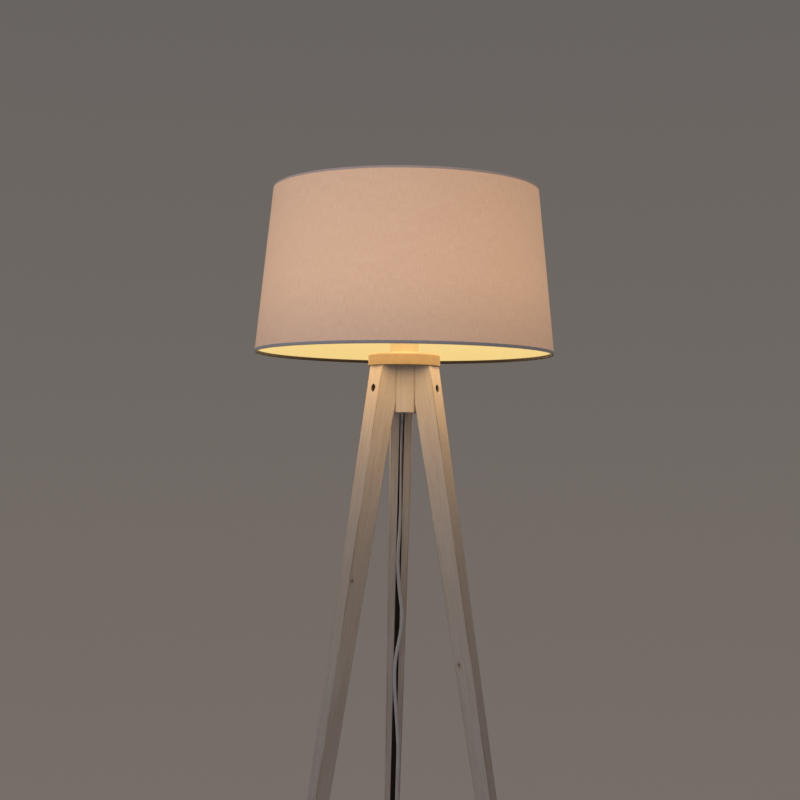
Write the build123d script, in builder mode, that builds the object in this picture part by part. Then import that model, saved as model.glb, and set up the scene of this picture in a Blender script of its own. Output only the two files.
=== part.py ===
"""Tripod floor lamp: three tapered wooden legs, a drum shade, a corded foot switch and a plug."""

from build123d import *
import os
from math import cos, hypot, pi, radians, sin, tan

os.makedirs("parts", exist_ok=True)

# ---------------------------------------------------------------- driving dimensions, in mm
# The floor is Z = 0 and the lamp's axis is the Z axis. The rear leg points along +Y.
lamp_height = 1370.0
shade_height = 250.0
shade_bottom_diameter = 450.0
shade_top_diameter = 400.0

disc_diameter = 108.0
disc_thickness = 18.0
disc_edge_radius = 3.0
disc_lower_edge = 1.0

leg_angles = {"leg_left": 210.0, "leg_right": 330.0, "leg_rear": 90.0}
leg_top_width = 34.0
leg_foot_width = 15.6
leg_outer_radius = 50.0
leg_outer_slope = 0.1624
leg_inner_slope = 0.178
leg_edge_radius = 1.2
mitre_radius = 25.8
mitre_height = 56.0

block_height = 70.0
block_edge = 0.6
block_bore = 13.0
nut_pocket_diameter = 20.0
nut_pocket_depth = 12.0

groove_width = 7.8
groove_depth = 7.0
groove_start_depth = 46.0
slot_rise = 4.0

bolt_depth = 34.0
bolt_diameter = 6.0
bolt_head_diameter = 10.0
bolt_head_height = 6.0
bolt_key_width = 5.0
bolt_key_depth = 3.0
bolt_recess_diameter = 12.0
bolt_seat_radius = 40.0
bolt_tip_radius = 15.0
insert_diameter = 9.0
insert_length = 11.0
insert_hole_spare = 2.0

disc_screw_circle = 16.5
disc_screw_diameter = 4.0
disc_screw_head = 8.0
disc_screw_length = 35.0
screw_hole_spare = 1.0

pad_thickness = 3.0
pad_diameter = 13.0

tube_diameter = 10.0
tube_bore = 7.0
tube_below_disc = 9.0
tube_above_disc = 9.0
nut_across_flats = 14.0
nut_height = 5.0
washer_diameter = 18.0
washer_thickness = 1.5

holder_diameter = 43.0
holder_base_height = 30.0
holder_wall = 2.0
holder_floor = 3.0
holder_flange_height = 3.0
holder_thread_diameter = 39.5
holder_thread_height = 27.0
holder_skirt_depth = 7.0
socket_bore = 28.0
socket_shell_wall = 0.5
core_height = 10.0
core_inset = 1.0
shell_inset = 3.0
wire_hole_offset = 8.0
terminal_offset = 9.0
terminal_screw_diameter = 4.0
screw_slot_width = 0.7
screw_slot_depth = 0.8
contact_rise = 3.0
contact_width = 6.0
contact_thickness = 0.6
contact_reach = 9.0
contact_bend = 5.0
contact_pad = 2.5
ring_outer_diameter = 56.0
ring_height = 7.0
ring_grips = 24
ring_grip_radius = 1.5
ring_grip_offset = 0.5
ring_gap_below = 3.0

fitter_outer_diameter = 62.0
fitter_play = 1.5
fitter_thickness = 2.0
spoke_diameter = 2.8
spoke_angles = (90.0, 210.0, 330.0)

rim_roll_diameter = 4.0
rim_wire_diameter = 2.8
rim_cloth = 0.45
rim_lap = 0.6
cloth_thickness = 0.6
liner_thickness = 0.8

cap_diameter = 26.4
cap_height = 19.0
bulb_insulator_height = 4.0
bulb_tip_diameter = 9.0
bulb_tip_height = 2.0
bulb_neck_height = 30.0
bulb_neck_diameter = 28.0
bulb_globe_diameter = 60.0
bulb_wall = 1.2
neck_flare = 0.5
globe_join_inset = 3.0
insulator_tip_margin = 1.0
insulator_cap_margin = 1.5
board_thickness = 1.6
board_inset = 1.5
light_circle = 14.0
light_count = 9
light_size = 3.0
light_height = 0.8

cord_width = 5.2
core_wire_diameter = 2.0
grip_diameter = 16.0
grip_height = 5.0

switch_diameter = 60.0
switch_height = 19.0
switch_base_thickness = 4.0
switch_wall = 2.0
switch_top_diameter = 44.0
switch_lower_edge = 1.0
switch_upper_edge = 3.0
switch_screw_offset = 21.0
switch_screw_diameter = 3.0
switch_screw_head = 5.4
switch_screw_recess = 2.2
switch_screw_inset = 0.4
switch_screw_length = 9.1
switch_screw_cross = 3.4
switch_boss_diameter = 7.0
switch_boss_height = 8.0
switch_boss_roof = 1.0
mechanism_length = 22.0
mechanism_width = 16.0
mechanism_height = 6.0
mechanism_edge = 0.6
spring_wire = 0.7
spring_radius = 3.9
spring_turns = 4
spring_recess = 3.0
spring_recess_radius = 5.2
switch_wire_spacing = 2.8
button_diameter = 27.0
button_rise = 3.0
button_travel = 2.5
button_flange = 2.0
button_edge_radius = 2.0
button_ring_radii = (8.0, 5.0)
button_ring_width = 1.0
button_ring_depth = 0.6
switch_centre = (78.0, -36.0)
switch_heading = -53.0
relief_length = 24.0
relief_root_diameter = 9.0
relief_tip_diameter = 6.4
relief_rings = 4
relief_ring_start = 5.0
relief_ring_pitch = 4.4
relief_ring_width = 1.3

plug_length = 35.0
plug_width = 34.0
plug_thickness = 13.6
plug_nose_width = 26.0
plug_back_width = 12.0
plug_shoulder = 12.0
plug_nose = 8.0
plug_corner_radius = 3.0
plug_edge_radius = 2.5
plug_pin_core = 3.4
plug_pin_seat = 8.0
plug_pin_tip_radius = 1.2
plug_pin_diameter = 4.0
plug_pin_length = 19.0
plug_pin_spacing = 18.6
plug_entry = (-75.5, 68.5)
plug_heading = 74.0

coil_centre = (-52.0, -52.0)
coil_inner_radius = 21.2
coil_outer_radius = 37.2
coil_height = 16.2
tie_width = 9.0
tie_thickness = 0.6

# Clearances between pieces that fit together.
running_gap = 0.05
slip_gap = 0.1
loose_gap = 0.3
shank_gap = 0.6

# ---------------------------------------------------------------- worked-out levels and sizes
disc_top = lamp_height - shade_height
disc_bottom = disc_top - disc_thickness
shade_base = disc_top
block_bottom = disc_bottom - block_height
mitre_bottom = disc_bottom - mitre_height
bolt_level = disc_bottom - bolt_depth
holder_base_top = disc_top + holder_base_height
flange_top = holder_base_top + holder_flange_height
body_top = flange_top + holder_thread_height
support_ring_base = flange_top + ring_gap_below
fitter_base = support_ring_base + ring_height
shade_ring_base = fitter_base + fitter_thickness
skirt_bottom = holder_base_top - holder_skirt_depth
core_base = skirt_bottom + core_inset
core_top = core_base + core_height
contact_top = core_top + contact_rise
cap_base = contact_top + bulb_tip_height + bulb_insulator_height
cap_top = cap_base + cap_height
neck_top = cap_top + bulb_neck_height
cord_radius = cord_width / 2


def outer_face(height):
    """Radius of a leg's outer face at a height above the floor."""
    return leg_outer_radius + leg_outer_slope * (disc_bottom - height)


def inner_face(height):
    """Radius of a leg's inner face at a height above the floor."""
    return mitre_radius + leg_inner_slope * max(0.0, mitre_bottom - height)


def radial_plane(angle):
    """Upright plane through the lamp's axis: x runs outward, y runs up."""
    outward = Vector(cos(radians(angle)), sin(radians(angle)), 0)
    return Plane(origin=(0, 0, 0), x_dir=outward, z_dir=outward.cross(Vector(0, 0, 1)))


def finish(piece, name):
    """Label a finished piece and write it."""
    piece.part.label = name
    export_step(piece.part, f"parts/{name}.step")


def route(points):
    """Straight runs joined by arcs, each as large as its two runs allow; returns the wire and radii."""
    vectors = [Vector(*p) for p in points]
    radii = []
    for before, corner, after in zip(vectors, vectors[1:], vectors[2:]):
        turn = (corner - before).get_angle(after - corner)
        shorter = min((corner - before).length, (after - corner).length)
        radii.append(0.45 * shorter / tan(radians(turn / 2)))
    with BuildLine() as line:
        FilletPolyline(*points, radius=radii)
    return line.line, radii


def start_plane(points):
    """Plane at the first point of a route, facing along its first run."""
    return Plane(origin=points[0], z_dir=Vector(*points[1]) - Vector(*points[0]))


def report_route(name, piece, line, radii, diameter):
    """Print a cord's length, its smallest radius and how its volume compares."""
    length = sum(edge.length for edge in line.edges())
    expected = pi * diameter**2 / 4 * length
    share = piece.part.volume / expected
    radii_text = " ".join(f"{r:.0f}" for r in radii)
    print(f"{name}: length {length:.0f} mm, volume share {share:.3f}, radii {radii_text}")


# ---------------------------------------------------------------- tripod
foot_outer = outer_face(pad_thickness)
foot_inner = inner_face(pad_thickness)
foot_centre = (foot_outer + foot_inner) / 2
bolt_recess_length = outer_face(bolt_level) + bolt_recess_diameter - bolt_seat_radius

for leg_name, leg_angle in leg_angles.items():
    side_plane = radial_plane(leg_angle)
    outward = side_plane.x_dir
    front_plane = Plane(origin=(0, 0, 0), x_dir=side_plane.z_dir, z_dir=-outward)
    bolt_plane = Plane(origin=outward * bolt_seat_radius + Vector(0, 0, bolt_level), z_dir=outward)
    with BuildPart() as leg:
        with BuildSketch(side_plane):
            with BuildLine():
                Polyline(
                    (mitre_radius, disc_bottom),
                    (leg_outer_radius, disc_bottom),
                    (foot_outer, pad_thickness),
                    (foot_inner, pad_thickness),
                    (mitre_radius, mitre_bottom),
                    close=True,
                )
            make_face()
        extrude(amount=leg_top_width, both=True)
        with BuildSketch(front_plane):
            with BuildLine():
                Polyline(
                    (-leg_top_width / 2, disc_bottom),
                    (leg_top_width / 2, disc_bottom),
                    (leg_foot_width / 2, pad_thickness),
                    (-leg_foot_width / 2, pad_thickness),
                    close=True,
                )
            make_face()
        extrude(amount=2 * foot_outer, both=True, mode=Mode.INTERSECT)
        long_edges = leg.edges().filter_by(lambda e: e.length > block_height)
        fillet(long_edges, radius=leg_edge_radius)
        if leg_name == "leg_rear":
            with BuildSketch(side_plane):
                with BuildLine():
                    groove_top = disc_bottom - groove_start_depth
                    Polyline(
                        (0, groove_top),
                        (mitre_radius + groove_depth, groove_top),
                        (mitre_radius + groove_depth, mitre_bottom),
                        (foot_inner + groove_depth, pad_thickness),
                        (foot_inner + groove_depth, 0),
                        (0, 0),
                        close=True,
                    )
                make_face()
            extrude(amount=groove_width / 2, both=True, mode=Mode.SUBTRACT)
        with BuildSketch(bolt_plane):
            Circle(bolt_recess_diameter / 2)
        extrude(amount=bolt_recess_length, mode=Mode.SUBTRACT)
        with BuildSketch(bolt_plane):
            Circle((bolt_diameter + shank_gap) / 2)
        extrude(amount=-bolt_seat_radius, mode=Mode.SUBTRACT)
    finish(leg, leg_name)

block_points = []
for leg_angle in sorted(leg_angles.values()):
    plane = radial_plane(leg_angle)
    for side in (-1, 1):
        block_points.append(plane.x_dir * mitre_radius - plane.z_dir * side * leg_top_width / 2)
slot_top = disc_bottom - groove_start_depth + slot_rise

with BuildPart() as head_block:
    with BuildSketch(Plane.XY.offset(block_bottom)):
        Polygon(*[(p.X, p.Y) for p in block_points], align=None)
    extrude(amount=block_height)
    chamfer(head_block.faces().sort_by(Axis.Z)[0].edges(), length=block_edge)
    with BuildSketch(Plane.XY.offset(block_bottom)):
        Circle(block_bore / 2)
    extrude(amount=block_height, mode=Mode.SUBTRACT)
    with BuildSketch(Plane.XY.offset(disc_bottom - nut_pocket_depth)):
        Circle(nut_pocket_diameter / 2)
    extrude(amount=nut_pocket_depth, mode=Mode.SUBTRACT)
    with BuildSketch(Plane.XY.offset(block_bottom)):
        with Locations((0, mitre_radius)):
            Rectangle(groove_width, 2 * mitre_radius)
    extrude(amount=slot_top - block_bottom, mode=Mode.SUBTRACT)
    for leg_angle in leg_angles.values():
        outward = radial_plane(leg_angle).x_dir
        hole_bottom = outward * (mitre_radius - insert_length - insert_hole_spare) + Vector(0, 0, bolt_level)
        with BuildSketch(Plane(origin=hole_bottom, z_dir=outward)):
            Circle(insert_diameter / 2 + running_gap)
        extrude(amount=leg_outer_radius, mode=Mode.SUBTRACT)
    with BuildSketch(Plane.XY.offset(disc_top - disc_screw_length - screw_hole_spare)):
        with PolarLocations(disc_screw_circle, 3, start_angle=30):
            Circle(disc_screw_diameter / 2 + running_gap)
    extrude(amount=disc_screw_length, mode=Mode.SUBTRACT)
finish(head_block, "head_block")

with BuildPart() as top_disc:
    with BuildSketch(Plane.XY.offset(disc_bottom)):
        Circle(disc_diameter / 2)
    extrude(amount=disc_thickness)
    fillet(top_disc.faces().sort_by(Axis.Z)[-1].edges(), radius=disc_edge_radius)
    fillet(top_disc.faces().sort_by(Axis.Z)[0].edges(), radius=disc_lower_edge)
    with Locations((0, 0, disc_top)):
        Hole((tube_diameter + 4 * slip_gap) / 2)
    with Locations(Location((0, 0, disc_top - loose_gap))):
        with PolarLocations(disc_screw_circle, 3, start_angle=30):
            CounterSinkHole(
                disc_screw_diameter / 2 + slip_gap,
                disc_screw_head / 2 + slip_gap,
                counter_sink_angle=90,
            )
    with BuildSketch(Plane.XY.offset(disc_top - loose_gap)):
        with PolarLocations(disc_screw_circle, 3, start_angle=30):
            Circle(disc_screw_head / 2 + slip_gap)
    extrude(amount=2 * loose_gap, mode=Mode.SUBTRACT)
finish(top_disc, "top_disc")

with BuildPart() as leg_bolts:
    for leg_angle in leg_angles.values():
        outward = radial_plane(leg_angle).x_dir
        level = Vector(0, 0, bolt_level)
        with BuildSketch(Plane(origin=outward * bolt_seat_radius + level, z_dir=outward)):
            Circle(bolt_head_diameter / 2)
        extrude(amount=bolt_head_height)
        key_floor = bolt_seat_radius + bolt_head_height - bolt_key_depth
        with BuildSketch(Plane(origin=outward * key_floor + level, z_dir=outward)):
            RegularPolygon(bolt_key_width / 2, 6, major_radius=False)
        extrude(amount=bolt_key_depth, mode=Mode.SUBTRACT)
        with BuildSketch(Plane(origin=outward * bolt_tip_radius + level, z_dir=outward)):
            Circle(bolt_diameter / 2)
        extrude(amount=bolt_seat_radius - bolt_tip_radius)
finish(leg_bolts, "leg_bolts")

with BuildPart() as threaded_inserts:
    for leg_angle in leg_angles.values():
        outward = radial_plane(leg_angle).x_dir
        insert_root = outward * (mitre_radius - insert_length - slip_gap) + Vector(0, 0, bolt_level)
        with BuildSketch(Plane(origin=insert_root, z_dir=outward)):
            Circle(insert_diameter / 2)
            Circle(bolt_diameter / 2 + running_gap, mode=Mode.SUBTRACT)
        extrude(amount=insert_length)
finish(threaded_inserts, "threaded_inserts")

with BuildPart() as disc_screws:
    screw_top = disc_top - loose_gap
    head_depth = (disc_screw_head - disc_screw_diameter) / 2
    with BuildSketch(Plane.XY.offset(screw_top)):
        with PolarLocations(disc_screw_circle, 3, start_angle=30):
            Circle(disc_screw_head / 2)
    extrude(amount=-head_depth, taper=45)
    with BuildSketch(Plane.XY.offset(disc_top - disc_screw_length)):
        with PolarLocations(disc_screw_circle, 3, start_angle=30):
            Circle(disc_screw_diameter / 2)
    extrude(amount=disc_screw_length - loose_gap - head_depth)
finish(disc_screws, "disc_screws")

with BuildPart() as foot_pads:
    with BuildSketch(Plane.XY):
        with PolarLocations(foot_centre, 3, start_angle=90):
            Circle(pad_diameter / 2)
    extrude(amount=pad_thickness)
    fillet(foot_pads.faces().group_by(Axis.Z)[0].edges(), radius=disc_lower_edge)
finish(foot_pads, "foot_pads")

# ---------------------------------------------------------------- lampholder
tube_bottom = disc_bottom - tube_below_disc
tube_top = disc_top + tube_above_disc

with BuildPart() as threaded_tube:
    with BuildSketch(Plane.XY.offset(tube_bottom)):
        Circle(tube_diameter / 2)
        Circle(tube_bore / 2, mode=Mode.SUBTRACT)
    extrude(amount=tube_top - tube_bottom)
finish(threaded_tube, "threaded_tube")

with BuildPart() as tube_washer:
    with BuildSketch(Plane.XY.offset(disc_bottom)):
        Circle(washer_diameter / 2)
        Circle(tube_diameter / 2 + slip_gap, mode=Mode.SUBTRACT)
    extrude(amount=-washer_thickness)
finish(tube_washer, "tube_washer")

with BuildPart() as tube_nut:
    with BuildSketch(Plane.XY.offset(disc_bottom - washer_thickness)):
        RegularPolygon(nut_across_flats / 2, 6, major_radius=False)
        Circle(tube_diameter / 2 + running_gap, mode=Mode.SUBTRACT)
    extrude(amount=-nut_height)
finish(tube_nut, "tube_nut")

base_inside = holder_diameter / 2 - holder_wall
with BuildPart() as holder_base:
    with BuildSketch(Plane.XY.offset(disc_top)):
        Circle(holder_diameter / 2)
    extrude(amount=holder_base_height)
    fillet(holder_base.faces().sort_by(Axis.Z)[0].edges(), radius=disc_lower_edge)
    with BuildSketch(Plane.XY.offset(disc_top + holder_floor)):
        Circle(base_inside)
    extrude(amount=holder_base_height, mode=Mode.SUBTRACT)
    with BuildSketch(Plane.XY.offset(disc_top + holder_floor)):
        Circle(grip_diameter / 2)
    extrude(amount=tube_above_disc - holder_floor)
    with Locations((0, 0, tube_top)):
        Hole(tube_diameter / 2 + running_gap)
finish(holder_base, "holder_base")

with BuildPart() as holder_body:
    with BuildSketch(Plane.XY.offset(skirt_bottom)):
        Circle(base_inside - slip_gap)
    extrude(amount=holder_skirt_depth)
    with BuildSketch(Plane.XY.offset(holder_base_top)):
        Circle(holder_diameter / 2)
    extrude(amount=holder_flange_height)
    with BuildSketch(Plane.XY.offset(flange_top)):
        Circle(holder_thread_diameter / 2)
    extrude(amount=holder_thread_height)
    chamfer(holder_body.faces().sort_by(Axis.Z)[-1].edges(), length=disc_lower_edge)
    with BuildSketch(Plane.XY.offset(skirt_bottom)):
        Circle(socket_bore / 2)
    extrude(amount=body_top - skirt_bottom, mode=Mode.SUBTRACT)
finish(holder_body, "holder_body")

core_radius = socket_bore / 2 - slip_gap
terminal_spots = [(0, -terminal_offset), (0, terminal_offset)]
with BuildPart() as holder_core:
    with BuildSketch(Plane.XY.offset(core_base)):
        Circle(core_radius)
    extrude(amount=core_height)
    with BuildSketch(Plane.XY.offset(core_base)):
        with Locations((-wire_hole_offset, 0), (wire_hole_offset, 0)):
            Circle(core_wire_diameter)
    extrude(amount=core_height / 2, mode=Mode.SUBTRACT)
    with BuildSketch(Plane.XY.offset(core_base)):
        with Locations(*terminal_spots):
            Circle(terminal_screw_diameter / 2 + running_gap)
    extrude(amount=core_height / 2, mode=Mode.SUBTRACT)
finish(holder_core, "holder_core")

with BuildPart() as terminal_screws:
    with BuildSketch(Plane.XY.offset(skirt_bottom)):
        with Locations(*terminal_spots):
            Circle(terminal_screw_diameter / 2)
    extrude(amount=core_height / 2)
    with BuildSketch(Plane.XY.offset(skirt_bottom)):
        with Locations(*terminal_spots):
            Rectangle(terminal_screw_diameter + slip_gap, screw_slot_width)
    extrude(amount=screw_slot_depth, mode=Mode.SUBTRACT)
finish(terminal_screws, "terminal_screws")

with BuildPart() as centre_contact:
    with BuildSketch(Plane.XZ.offset(-contact_width / 2)):
        with BuildLine():
            Polyline(
                (-contact_reach, core_top),
                (-contact_bend, core_top),
                (-contact_pad, contact_top - contact_thickness),
                (contact_pad, contact_top - contact_thickness),
                (contact_pad, contact_top),
                (-contact_pad - contact_thickness, contact_top),
                (-contact_bend - contact_thickness, core_top + contact_thickness),
                (-contact_reach, core_top + contact_thickness),
                close=True,
            )
        make_face()
    extrude(amount=contact_width)
finish(centre_contact, "centre_contact")

with BuildPart() as screw_shell:
    with BuildSketch(Plane.XY.offset(core_top)):
        Circle(core_radius)
        Circle(core_radius - socket_shell_wall, mode=Mode.SUBTRACT)
    extrude(amount=body_top - core_top - shell_inset)
finish(screw_shell, "screw_shell")


def threaded_ring(base_level, name):
    """Ring that screws on the lampholder, with finger grips round its edge."""
    with BuildPart() as ring:
        with BuildSketch(Plane.XY.offset(base_level)):
            Circle(ring_outer_diameter / 2)
            Circle(holder_thread_diameter / 2 + slip_gap, mode=Mode.SUBTRACT)
        extrude(amount=ring_height)
        with BuildSketch(Plane.XY.offset(base_level)):
            with PolarLocations(ring_outer_diameter / 2 + ring_grip_offset, ring_grips):
                Circle(ring_grip_radius)
        extrude(amount=ring_height, mode=Mode.SUBTRACT)
    finish(ring, name)


threaded_ring(support_ring_base, "support_ring")
threaded_ring(shade_ring_base, "shade_ring")

# ---------------------------------------------------------------- bulb
tip_base = contact_top
insulator_base = tip_base + bulb_tip_height

with BuildPart() as bulb_contact:
    with BuildSketch(Plane.XY.offset(tip_base)):
        Circle(bulb_tip_diameter / 2)
    extrude(amount=bulb_tip_height)
    fillet(bulb_contact.faces().sort_by(Axis.Z)[0].edges(), radius=disc_lower_edge)
finish(bulb_contact, "bulb_contact")

with BuildPart() as bulb_insulator:
    with BuildSketch(Plane.XY.offset(insulator_base)):
        Circle(bulb_tip_diameter / 2 + insulator_tip_margin)
    with BuildSketch(Plane.XY.offset(cap_base)):
        Circle(cap_diameter / 2 - insulator_cap_margin)
    loft()
finish(bulb_insulator, "bulb_insulator")

with BuildPart() as bulb_cap:
    with BuildSketch(Plane.XY.offset(cap_base)):
        Circle(cap_diameter / 2)
        Circle(cap_diameter / 2 - bulb_wall, mode=Mode.SUBTRACT)
    extrude(amount=cap_height)
    fillet(bulb_cap.faces().sort_by(Axis.Z)[0].edges().sort_by(SortBy.LENGTH)[-1], radius=bulb_wall / 2)
finish(bulb_cap, "bulb_cap")

globe_radius = bulb_globe_diameter / 2
globe_join_radius = globe_radius - globe_join_inset
globe_centre = neck_top + (globe_radius**2 - globe_join_radius**2) ** 0.5
board_level = neck_top - board_inset
board_drop = neck_top - board_level + board_thickness
board_radius = globe_join_radius - bulb_wall - neck_flare * board_drop - loose_gap

with BuildPart() as bulb_neck:
    with BuildSketch(Plane.XZ):
        with BuildLine():
            flare = ((0.25, 1), (neck_flare, 1))
            neck_radius = bulb_neck_diameter / 2
            Spline((neck_radius, cap_top), (globe_join_radius, neck_top), tangents=flare)
            Line((globe_join_radius, neck_top), (globe_join_radius - bulb_wall, neck_top))
            inside_top = (globe_join_radius - bulb_wall, neck_top)
            Spline((neck_radius - bulb_wall, cap_top), inside_top, tangents=flare)
            Line((neck_radius - bulb_wall, cap_top), (neck_radius, cap_top))
        make_face()
    revolve(axis=Axis.Z)
finish(bulb_neck, "bulb_neck")

with BuildPart() as bulb_globe:
    with Locations((0, 0, globe_centre)):
        Sphere(globe_radius)
        Sphere(globe_radius - bulb_wall, mode=Mode.SUBTRACT)
    split(bisect_by=Plane.XY.offset(neck_top), keep=Keep.TOP)
finish(bulb_globe, "bulb_globe")

with BuildPart() as led_board:
    with BuildSketch(Plane.XY.offset(board_level - board_thickness)):
        Circle(board_radius)
    extrude(amount=board_thickness)
    with BuildSketch(Plane.XY.offset(board_level)):
        with PolarLocations(light_circle, light_count):
            Rectangle(light_size, light_size)
    extrude(amount=light_height)
finish(led_board, "led_board")

# ---------------------------------------------------------------- shade
shade_bottom_radius = shade_bottom_diameter / 2
shade_top_radius = shade_top_diameter / 2
shade_top = shade_base + shade_height
roll_radius = rim_roll_diameter / 2
shade_slope = (shade_bottom_radius - shade_top_radius) / shade_height


def shade_surface(height):
    """Radius of the shade's outer surface at a height above the floor."""
    return shade_bottom_radius - shade_slope * (height - shade_base)


def cone_wall(outer_gap, thickness, lower, upper, name):
    """Thin cone that follows the shade's outer surface at a set distance inside it."""
    with BuildPart() as wall:
        with BuildSketch(Plane.XZ):
            with BuildLine():
                Polyline(
                    (shade_surface(lower) - outer_gap, lower),
                    (shade_surface(upper) - outer_gap, upper),
                    (shade_surface(upper) - outer_gap - thickness, upper),
                    (shade_surface(lower) - outer_gap - thickness, lower),
                    close=True,
                )
            make_face()
        revolve(axis=Axis.Z)
    finish(wall, name)


cloth_bottom = shade_base + rim_roll_diameter + slip_gap
cloth_top = shade_top - rim_roll_diameter - slip_gap
cone_wall(slip_gap, cloth_thickness, cloth_bottom, cloth_top, "shade_fabric")
liner_gap = 2 * slip_gap + cloth_thickness
cone_wall(liner_gap, liner_thickness, cloth_bottom, cloth_top, "shade_liner")

rims = {
    "bottom": (shade_bottom_radius - roll_radius, shade_base + roll_radius),
    "top": (shade_top_radius - roll_radius, shade_top - roll_radius),
}
for rim_name, (rim_radius, rim_level) in rims.items():
    with BuildPart() as wire_ring:
        with BuildSketch(Plane.XZ):
            with Locations((rim_radius, rim_level)):
                Circle(rim_wire_diameter / 2)
        revolve(axis=Axis.Z)
    finish(wire_ring, f"{rim_name}_wire_ring")
    with BuildPart() as binding:
        with BuildSketch(Plane.XZ):
            with Locations((rim_radius, rim_level)):
                Circle(roll_radius)
                Circle(roll_radius - rim_cloth, mode=Mode.SUBTRACT)
            with Locations((rim_radius - roll_radius, rim_level)):
                Rectangle(2 * roll_radius - rim_lap, spoke_diameter + 2 * loose_gap, mode=Mode.SUBTRACT)
        revolve(axis=Axis.Z)
    finish(binding, f"{rim_name}_rim_binding")

fitter_radius = fitter_outer_diameter / 2
with BuildPart() as fitter_ring:
    with BuildSketch(Plane.XY.offset(fitter_base)):
        Circle(fitter_radius)
        Circle((holder_thread_diameter + fitter_play) / 2, mode=Mode.SUBTRACT)
    extrude(amount=fitter_thickness)
finish(fitter_ring, "fitter_ring")

spoke_inner = (fitter_radius + spoke_diameter / 2 + slip_gap, fitter_base + fitter_thickness / 2)
spoke_run = (rims["bottom"][0] - spoke_inner[0], rims["bottom"][1] - spoke_inner[1])
spoke_reach = hypot(*spoke_run) - rim_wire_diameter / 2 - slip_gap
with BuildPart() as shade_spokes:
    for spoke_angle in spoke_angles:
        outward = radial_plane(spoke_angle).x_dir
        start = outward * spoke_inner[0] + Vector(0, 0, spoke_inner[1])
        heading = outward * spoke_run[0] + Vector(0, 0, spoke_run[1])
        with BuildSketch(Plane(origin=start, z_dir=heading)):
            Circle(spoke_diameter / 2)
        extrude(amount=spoke_reach)
finish(shade_spokes, "shade_spokes")

# ---------------------------------------------------------------- cord inside the head
grip_top = tube_top + grip_height
inner_route = [
    (0.0, 0.0, grip_top),
    (0.0, 0.5, 1096.0),
    (0.0, 0.0, 1055.0),
    (0.0, 31.6, 1034.0),
    (0.0, 34.0, 1020.0),
]
inner_line, inner_radii = route(inner_route)
with BuildPart() as inner_cord:
    add(inner_line)
    with BuildSketch(start_plane(inner_route)):
        Circle(cord_radius)
    sweep(path=inner_line)
finish(inner_cord, "inner_cord")
report_route("inner_cord", inner_cord, inner_line, inner_radii, cord_width)

with BuildPart() as cord_grip:
    with BuildSketch(Plane.XY.offset(tube_top)):
        Circle(grip_diameter / 2)
        Circle(cord_radius + slip_gap, mode=Mode.SUBTRACT)
    extrude(amount=grip_height)
finish(cord_grip, "cord_grip")

with BuildPart() as core_wires:
    for side in (-1, 1):
        wire_route = [
            (side * 1.3, 0.0, grip_top + slip_gap),
            (side * 1.4, 0.0, grip_top + 3.0),
            (side * 7.0, 0.0, grip_top + 8.0),
            (side * wire_hole_offset, 0.0, core_base + core_height / 2 - loose_gap),
        ]
        wire_line, wire_radii = route(wire_route)
        with BuildSketch(start_plane(wire_route)):
            Circle(core_wire_diameter / 2)
        sweep(path=wire_line)
finish(core_wires, "core_wires")

# ---------------------------------------------------------------- free cord, from the block to the switch
# In the rear leg's groove at first, then loose in front of it, back in the groove and over the floor.
floor_level = cord_radius + 0.1
cord_route = [
    (0.0, 34.0, 1020.0),
    (0.0, 41.6, 975.0),
    (1.0, 51.0, 918.0),
    (1.0, 56.8, 868.0),
    (-0.8, 59.6, 834.0),
    (-1.7, 64.6, 802.0),
    (2.4, 72.4, 757.0),
    (8.2, 78.6, 721.0),
    (4.8, 84.4, 689.0),
    (-0.6, 89.6, 661.0),
    (-2.7, 94.6, 633.0),
    (-0.9, 101.0, 597.0),
    (3.6, 109.2, 550.0),
    (6.8, 117.0, 506.0),
    (6.0, 125.6, 457.0),
    (6.8, 134.0, 412.0),
    (4.6, 142.8, 366.0),
    (0.6, 154.6, 318.0),
    (-0.6, 167.6, 264.0),
    (0.6, 178.4, 208.0),
    (-0.6, 188.0, 154.0),
    (0.5, 196.0, 108.0),
    (0.0, 200.5, 74.0),
    (1.5, 196.0, 44.0),
    (2.0, 178.0, 18.0),
    (-2.0, 152.0, 4.6),
    (-13.0, 122.0, floor_level),
    (-15.0, 89.0, floor_level + 0.1),
    (-2.0, 60.0, floor_level),
    (12.0, 45.0, 4.0),
]


def floor_point(centre, heading, distance, height):
    """Point at a distance from a centre along a heading, at a height."""
    angle = radians(heading)
    return (centre[0] + distance * cos(angle), centre[1] + distance * sin(angle), height)


switch_cord_level = 9.0
relief_tip = switch_diameter / 2 + relief_length + slip_gap
switch_straight = 20.0
for distance in (relief_tip + switch_straight, relief_tip):
    cord_route.append(floor_point(switch_centre, switch_heading, -distance, switch_cord_level))
cord_line, cord_radii = route(cord_route)
with BuildPart() as mains_cord:
    add(cord_line)
    with BuildSketch(start_plane(cord_route)):
        Circle(cord_radius)
    sweep(path=cord_line)
finish(mains_cord, "mains_cord")
report_route("mains_cord", mains_cord, cord_line, cord_radii, cord_width)

# ---------------------------------------------------------------- foot switch
base_top = switch_base_thickness
cover_top = switch_height
cover_radius = switch_diameter / 2
cover_top_radius = switch_top_diameter / 2
cover_slope = (cover_radius - cover_top_radius) / (cover_top - base_top)
switch_plane = Plane(
    origin=(switch_centre[0], switch_centre[1], 0),
    x_dir=(cos(radians(switch_heading)), sin(radians(switch_heading)), 0),
    z_dir=(0, 0, 1),
)
screw_spots = [(0, switch_screw_offset), (0, -switch_screw_offset)]

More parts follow.
